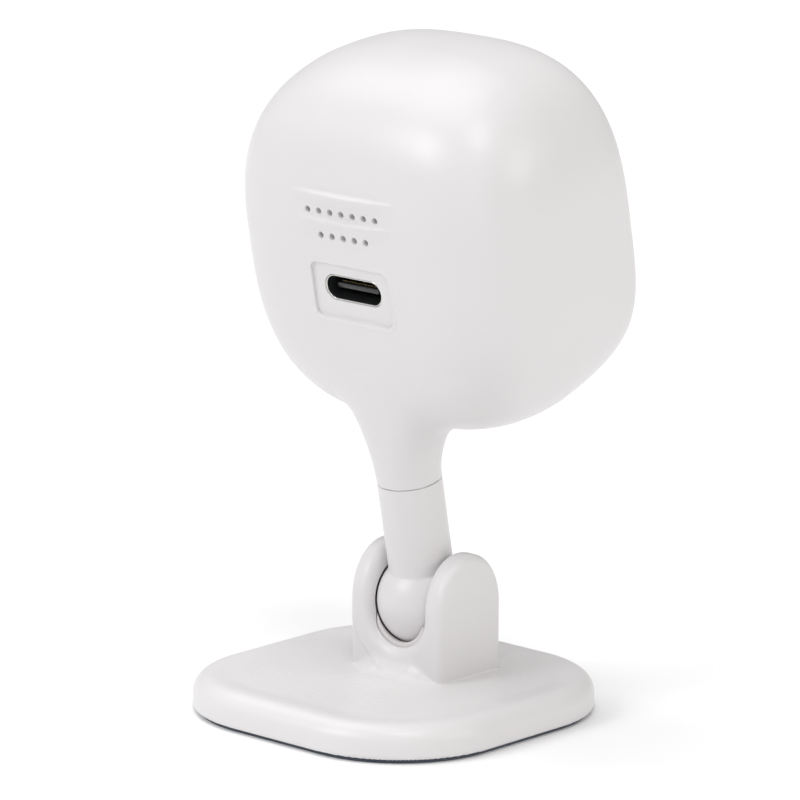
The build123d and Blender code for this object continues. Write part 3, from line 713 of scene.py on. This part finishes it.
BALL_R = 5.86
# The stem's shoulder stops just under the seam; a thinner pin goes on into the neck.
SHOULDER_Z, SHOULDER_EASE = 15.74, 0.015
PIN_R, PIN_TOP = 2.5, 21.8
join_z = math.sqrt(BALL_R**2 - STEM_R**2)
join_angle = math.degrees(math.asin(join_z / BALL_R))
stem_profile = [(0, -BALL_R)] + arc(0, 0, BALL_R, -89, join_angle - 1.5, 90)
stem_profile += [(STEM_R + 0.03, join_z + 0.04), (STEM_R, join_z + 0.2)]
stem_profile += [(STEM_R, z) for z in np.linspace(join_z + 1, 15.3, 8)]
stem_profile += arc(STEM_R - SHOULDER_EASE, SHOULDER_Z - SHOULDER_EASE, SHOULDER_EASE, 0, 90, 6)
stem_profile += [(PIN_R, SHOULDER_Z), (PIN_R, 21.5), (2.2, PIN_TOP), (0.9, PIN_TOP), (0, PIN_TOP)]
stem = lathe("ball_and_stem", stem_profile, (0, 0, 0), (0, 0, 1), 160)
outward(stem)
shade(lean(stem), 40)
fit(stem, "stem", ["ball_stem"], finishes["white_plastic"])

# ------------------------------------------------------------------ foot and fork
SIDE, CORNER, HEIGHT, PAD_T = 42.6, 14.3, 4.5, 0.5
FORK_X, FORK_HALF_Y, ARCH = 7.45, 5.55, 6.7
SLOT_HALF, SLOT_LOW = 4.15, 5.0
CUP_TOP = BALL_Z + 0.4
# A faint crease runs in an arc round the bottom of the fork.
COLLAR_Z, COLLAR_R = 11.9, 7.2
FOOT_WALL, FOOT_CEILING = 1.5, 3.0
BOSS_X, BOSS_R = 13.2, 2.2
CUP_BOSS_X, CUP_BOSS_R = 10.6, 1.9
SEAT_R = 6.1
WELL_R, WELL_HALF_Y = 5.95, 4.7
LINER_R, LINER_HALF_Y, LINER_LOW, LINER_SLOT = 5.86, 4.6, 3.7, 3.72


def foot(points):
    """Field of the foot plate: rounded edge, raised rim and faint rings in a shallow dish."""
    x, y, z = points.T
    outline = rounded_square(x, y, SIDE / 2, SIDE / 2, CORNER)
    within = -outline
    dish = 0.25 * smooth_step(2.6, 5.4, within)
    rings = 0.02 * np.sin(within * 2 * np.pi / 1.3) * smooth_step(4.5, 7.0, within)
    top = z - (HEIGHT - dish + rings)
    low = PAD_T - z
    return both(both(outline, top, 2.3), low, 0.4)


def slot_field(x, z, half):
    """Field of the U-shaped gap that the stem swings in."""
    centre = BALL_Z - SLOT_LOW + SLOT_HALF
    return np.where(z > centre, np.abs(x), np.hypot(x, z - centre)) - half


def fork(points):
    """Field of the fork standing on the foot."""
    x, y, z = points.T
    y = y - FORK_Y
    up = np.maximum(z - BALL_Z, 0) * (FORK_HALF_Y / ARCH)
    reach = np.hypot(y, up)
    tilt = np.maximum(np.hypot(y, up * FORK_HALF_Y / ARCH) / np.maximum(reach, 1e-6), 0.5)
    profile = (reach - FORK_HALF_Y) / tilt
    crease = smooth_step(-0.2, 0.2, np.hypot(x, z - COLLAR_Z) - COLLAR_R)
    profile = profile + 0.13 * crease * smooth_step(-4.5, 1.0, x) * smooth_step(1.5, 3.5, COLLAR_Z - z)
    body = both(profile, np.abs(x) - FORK_X, 0.95)
    body = less(body, slot_field(x, z, SLOT_HALF), 1.45)
    return both(body, 2.0 - z)


def base(points):
    """Field of foot and fork in one moulding."""
    x = points[:, 0]
    flank = smooth_step(2.5, 7.45, np.abs(x))
    blend = 2.6 * (1 - flank) + 0.12
    return either(fork(points), foot(points), blend)


def near_fork(points):
    """The fork and the part of the foot round it."""
    x, y, z = points.T
    return (np.abs(x) < 9.5) & (np.abs(y - FORK_Y) < 10) & (z > 3.6)


cover = carve("foot_and_fork", base, (-21.9, -21.9, -0.2), (21.9, 21.9, 19.8), 0.34, near_fork, 1)
shade(cover)


def foot_hollow():
    """Underside pocket of the foot with its screw bosses."""
    bosses = [(x, y, BOSS_R) for x in (-BOSS_X, BOSS_X) for y in (-BOSS_X, BOSS_X)]
    bosses += [(x, FORK_Y, CUP_BOSS_R) for x in (-CUP_BOSS_X, CUP_BOSS_X)]
    half = SIDE / 2 - FOOT_WALL

    def field(points):
        x, y, z = points.T
        hollow = rounded_square(x, y, half, half, CORNER - FOOT_WALL)
        hollow = np.maximum(hollow, np.maximum(-1 - z, z - FOOT_CEILING))
        for bx, by, radius in bosses:
            hollow = less(hollow, np.maximum(np.hypot(x - bx, y - by) - radius, 1.5 - z))
        return hollow

    return carve("foot_hollow", field, (-20.5, -20.5, -1.3), (20.5, 20.5, 3.3), 0.5)


def seat_tool():
    """Round hollow that the ball sits in, a little larger than the ball."""
    profile = [(0, -SEAT_R)] + arc(0, 0, SEAT_R, -88, 88, 72) + [(0, SEAT_R)]
    return lathe("seat", profile, (0, FORK_Y, BALL_Z), (1, 0, 0), 128)


def cup_well():
    """Upright well under the ball for the cup, round with its front and back flattened."""
    count = 128
    rings = []
    for z in (0.0, CUP_TOP + 0.1):
        angle = 2 * np.pi * np.arange(count) / count
        x = WELL_R * np.cos(angle)
        y = np.clip(WELL_R * np.sin(angle), -WELL_HALF_Y, WELL_HALF_Y)
        rings.append(np.stack([x, y + FORK_Y, np.full(count, z)], -1))
    return outline_solid("cup_well", rings)


cut(cover, foot_hollow())
cut(cover, cup_well(), seat_tool())
shade(cover, 38)
fit(cover, "base", ["base_cover"], finishes["white_plastic"])


def cup(points):
    """Field of the friction cup below the ball, a smooth liner inside the fork's gap."""
    x, y, z = points.T
    y = y - FORK_Y
    field = both(np.hypot(x, y) - LINER_R, np.abs(y) - LINER_HALF_Y, 0.12)
    field = np.maximum(field, np.maximum(LINER_LOW - z, z - CUP_TOP))
    field = less(field, slot_field(x, z, LINER_SLOT), 0.1)
    seat = BALL_R + 0.06 + 0.14 * smooth_step(1.8, 3.2, np.abs(y))
    return less(field, np.sqrt(x**2 + y**2 + (z - BALL_Z)**2) - seat, 0.06)


liner = carve("friction_cup", cup, (-6.2, FORK_Y - 4.8, 3.3), (6.2, FORK_Y + 4.8, 13.4), 0.16)
shade(liner)
fit(liner, "base", ["socket_cup"], finishes["cup_plastic"])

# ------------------------------------------------------------------ inlet
PORT_Y = PANEL_Y - 0.1


def inlet_shell():
    """Drawn shell of the inlet with a rolled front lip; its inside takes the black plastic finish as painted shade
    for the deep port.
    """
    levels = [(SHELL_R, PORT_Y - 7.35), (SHELL_R, PORT_Y - 0.1), (1.56, PORT_Y - 0.03),
              (1.52, PORT_Y), (1.47, PORT_Y), (1.43, PORT_Y - 0.03),
              (1.41, PORT_Y - 0.1), (1.28, PORT_Y - 0.6), (1.28, PORT_Y - 6.9)]
    return outline_solid("inlet_shell", [stadium(SLOT_LONG, radius, y) for radius, y in levels])


inlet = outward(inlet_shell())
shade(lean(inlet), 50)
fit(inlet, "head", ["usb_shell"], finishes["inlet_nickel"])
# The faces inside the lip take the black plastic finish: painted shade for the deep inside of the port.
inlet.data.materials.append(finishes["inlet_plastic"])
METAL_BANDS, OUTLINE_POINTS = 6, 96
for face in inlet.data.polygons:
    if face.index >= OUTLINE_POINTS * METAL_BANDS:
        face.material_index = 1


def rounded_bar(name, half_long, radius, low_y, high_y, ease):
    """Flat rounded bar along Y with an eased front end."""
    levels = [(radius, low_y), (radius, high_y - ease), (radius - ease * 0.3, high_y - ease * 0.3),
              (radius - ease, high_y)]
    return outline_solid(name, [stadium(half_long, wide, y) for wide, y in levels])


tongue = outward(rounded_bar("plug_tongue", 3.0, 0.35, PORT_Y - 6.0, PORT_Y - 0.75, 0.14))
shade(lean(tongue), 50)
fit(tongue, "head", ["usb_tongue"], finishes["inlet_plastic"])
floor_block = outward(rounded_bar("inlet_floor", SLOT_LONG, 1.27, PORT_Y - 7.05, PORT_Y - 5.45, 0.1))
shade(lean(floor_block), 50)
fit(floor_block, "head", [], finishes["inlet_plastic"])

# ------------------------------------------------------------------ front
LENS_Z = 45.5
WINDOW_Y = FRONT_Y + 0.5
WINDOW_T = 1.2
CLEAR_R = 5.7


def window_rings(inset, y):
    """Rings of one window face, from the lens outwards to the rim."""
    rim = section_ring(DEPTH, WALL + inset, y)
    angle = 2 * np.pi * np.arange(len(rim)) / len(rim)
    rings = []
    for radius in (1.5, 3.0, 4.5, CLEAR_R):
        x, z = radius * np.cos(angle), LENS_Z + radius * np.sin(angle)
        rings.append(np.stack([x, np.full(len(rim), y), z], -1))
    edge = rings[-1]
    for share in (0.04, 0.25, 0.5, 0.75, 1.0):
        rings.append(edge + (rim - edge) * share)
    return rings


def make_window():
    """Front panel: clear over the lens, black ink on the rest, its rim slightly eased."""
    front = window_rings(0.27, WINDOW_Y)
    sides = [section_ring(DEPTH, WALL + 0.19, WINDOW_Y + 0.03),
             section_ring(DEPTH, WALL + 0.15, WINDOW_Y + 0.12),
             section_ring(DEPTH, WALL + 0.15, WINDOW_Y + WINDOW_T)]
    behind = window_rings(0.15, WINDOW_Y + WINDOW_T)[:-1][::-1]
    made = outline_solid("front_window", front + sides + behind)
    made.data.materials.append(finishes["dark_window"])
    made.data.materials.append(finishes["lens_window"])
    for face in made.data.polygons:
        middle = face.center / MM
        if math.hypot(middle.x, middle.z - LENS_Z) < CLEAR_R:
            face.material_index = 1
    return outward(made)


window = make_window()
shade(lean(window), 30)
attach(window, "head")
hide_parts("front_window")

LENS_Y = WINDOW_Y + WINDOW_T + 0.4
barrel_profile = [(7.0, 0.12), (6.9, 0.02), (6.8, 0.0), (5.6, 0.0), (5.5, 0.05)]
for ring in range(6):
    depth = 0.15 + ring * 0.38
    radius = 5.4 - ring * 0.18
    barrel_profile += [(radius, depth), (radius, depth + 0.26), (radius - 0.12, depth + 0.3)]
barrel_profile += [(4.3, 2.42), (4.3, 5.0), (3.2, 5.0), (3.2, 9.3), (4.0, 9.3),
                   (4.0, 11.5), (5.9, 11.5), (5.9, 3.2), (7.0, 3.2)]
barrel = lathe("lens_barrel_turned", barrel_profile, (0, LENS_Y, LENS_Z), (0, 1, 0), 128, True)
shade(lean(outward(barrel)), 30)
fit(barrel, "head", ["lens_barrel"], finishes["black_metal"])


def lens_profile(radius, bulge, thick):
    """Half section of a glass with a domed front and a ground edge."""
    ball = (radius**2 + bulge**2) / (2 * bulge)
    points = [(0, 0)]
    for step in range(1, 25):
        r = radius * step / 24
        points.append((r, ball - math.sqrt(ball**2 - r**2)))
    points += [(radius, thick), (radius * 0.8, thick - 0.05), (radius * 0.4, thick - 0.2), (0, thick - 0.25)]
    return points


glass = lathe("lens_front_element", lens_profile(4.22, 1.1, 2.5), (0, LENS_Y + 0.9, LENS_Z), (0, 1, 0), 96)
shade(lean(outward(glass)), 30)
fit(glass, "head", ["lens_front_glass"], finishes["lens_glass"])

# ------------------------------------------------------------------ camera, light and floor
azimuth, elevation, roll = math.radians(222.14), math.radians(13.11), math.radians(0.5)
level = math.cos(elevation)
back = Vector((math.sin(azimuth) * level, -math.cos(azimuth) * level, math.sin(elevation)))
right = Vector((math.cos(azimuth), math.sin(azimuth), 0))
up = right.cross(-back)
across = right * math.cos(roll) + up * math.sin(roll)
upward = -right * math.sin(roll) + up * math.cos(roll)
view = bpy.data.cameras.new("view")
view.lens = 270
view.sensor_width = 36
view.clip_start, view.clip_end = 0.05, 20
camera = bpy.data.objects.new("view", view)
bpy.context.scene.collection.objects.link(camera)
# The camera's aim, sideways and up, and its distance, in metres, from the fit to the photo.
AIM_RIGHT, AIM_UP, DISTANCE = 0.00044, 0.03813, 0.71464
place = right * AIM_RIGHT + Vector((0, 0, AIM_UP)) + back * DISTANCE
camera.matrix_world = Matrix([(across[i], upward[i], back[i], place[i]) for i in range(3)] + [(0, 0, 0, 1)])
bpy.context.scene.camera = camera


def lamp(name, direction, strength, spread, colour=(1, 1, 1)):
    """Far soft light from a direction given across the picture, up and towards the camera."""
    way = (right * direction[0] + up * direction[1] + back * direction[2]).normalized()
    data = bpy.data.lights.new(name, "SUN")
    data.angle = math.radians(spread)
    data.energy = strength
    data.color = colour
    made = bpy.data.objects.new(name, data)
    made.rotation_mode = "QUATERNION"
    made.rotation_quaternion = way.to_track_quat("Z", "Y")
    bpy.context.scene.collection.objects.link(made)


lamp("key", (-0.76, 0.47, 0.45), 1.0, 26, (0.96, 0.97, 1.0))
lamp("top", (-0.28, 0.96, -0.05), 1.15, 50)
lamp("high", (0.1, 0.75, 0.65), 0.75, 24)
lamp("side", (0.85, 0.3, 0.43), 0.6, 24, (1.0, 0.97, 0.94))
lamp("fill", (0.0, 0.12, 1.0), 0.15, 40)

world = bpy.data.worlds.new("studio")
world.use_nodes = True
world.node_tree.nodes["Background"].inputs["Color"].default_value = (1, 1, 1, 1)
world.node_tree.nodes["Background"].inputs["Strength"].default_value = 0.4
bpy.context.scene.world = world
bpy.context.scene.view_settings.view_transform = "Standard"

floor_mesh = bpy.data.meshes.new("floor")
FLOOR = 6
corners = [(-FLOOR, -FLOOR, 0), (FLOOR, -FLOOR, 0), (FLOOR, FLOOR, 0), (-FLOOR, FLOOR, 0)]
floor_mesh.from_pydata(corners, [], [(0, 1, 2, 3)])
floor = bpy.data.objects.new("floor", floor_mesh)
bpy.context.scene.collection.objects.link(floor)
floor_mesh.materials.append(moulded("floor", (0.95, 0.95, 0.95), 0.6, 0.00001, 0.005, 0.2, mottle=8).material)
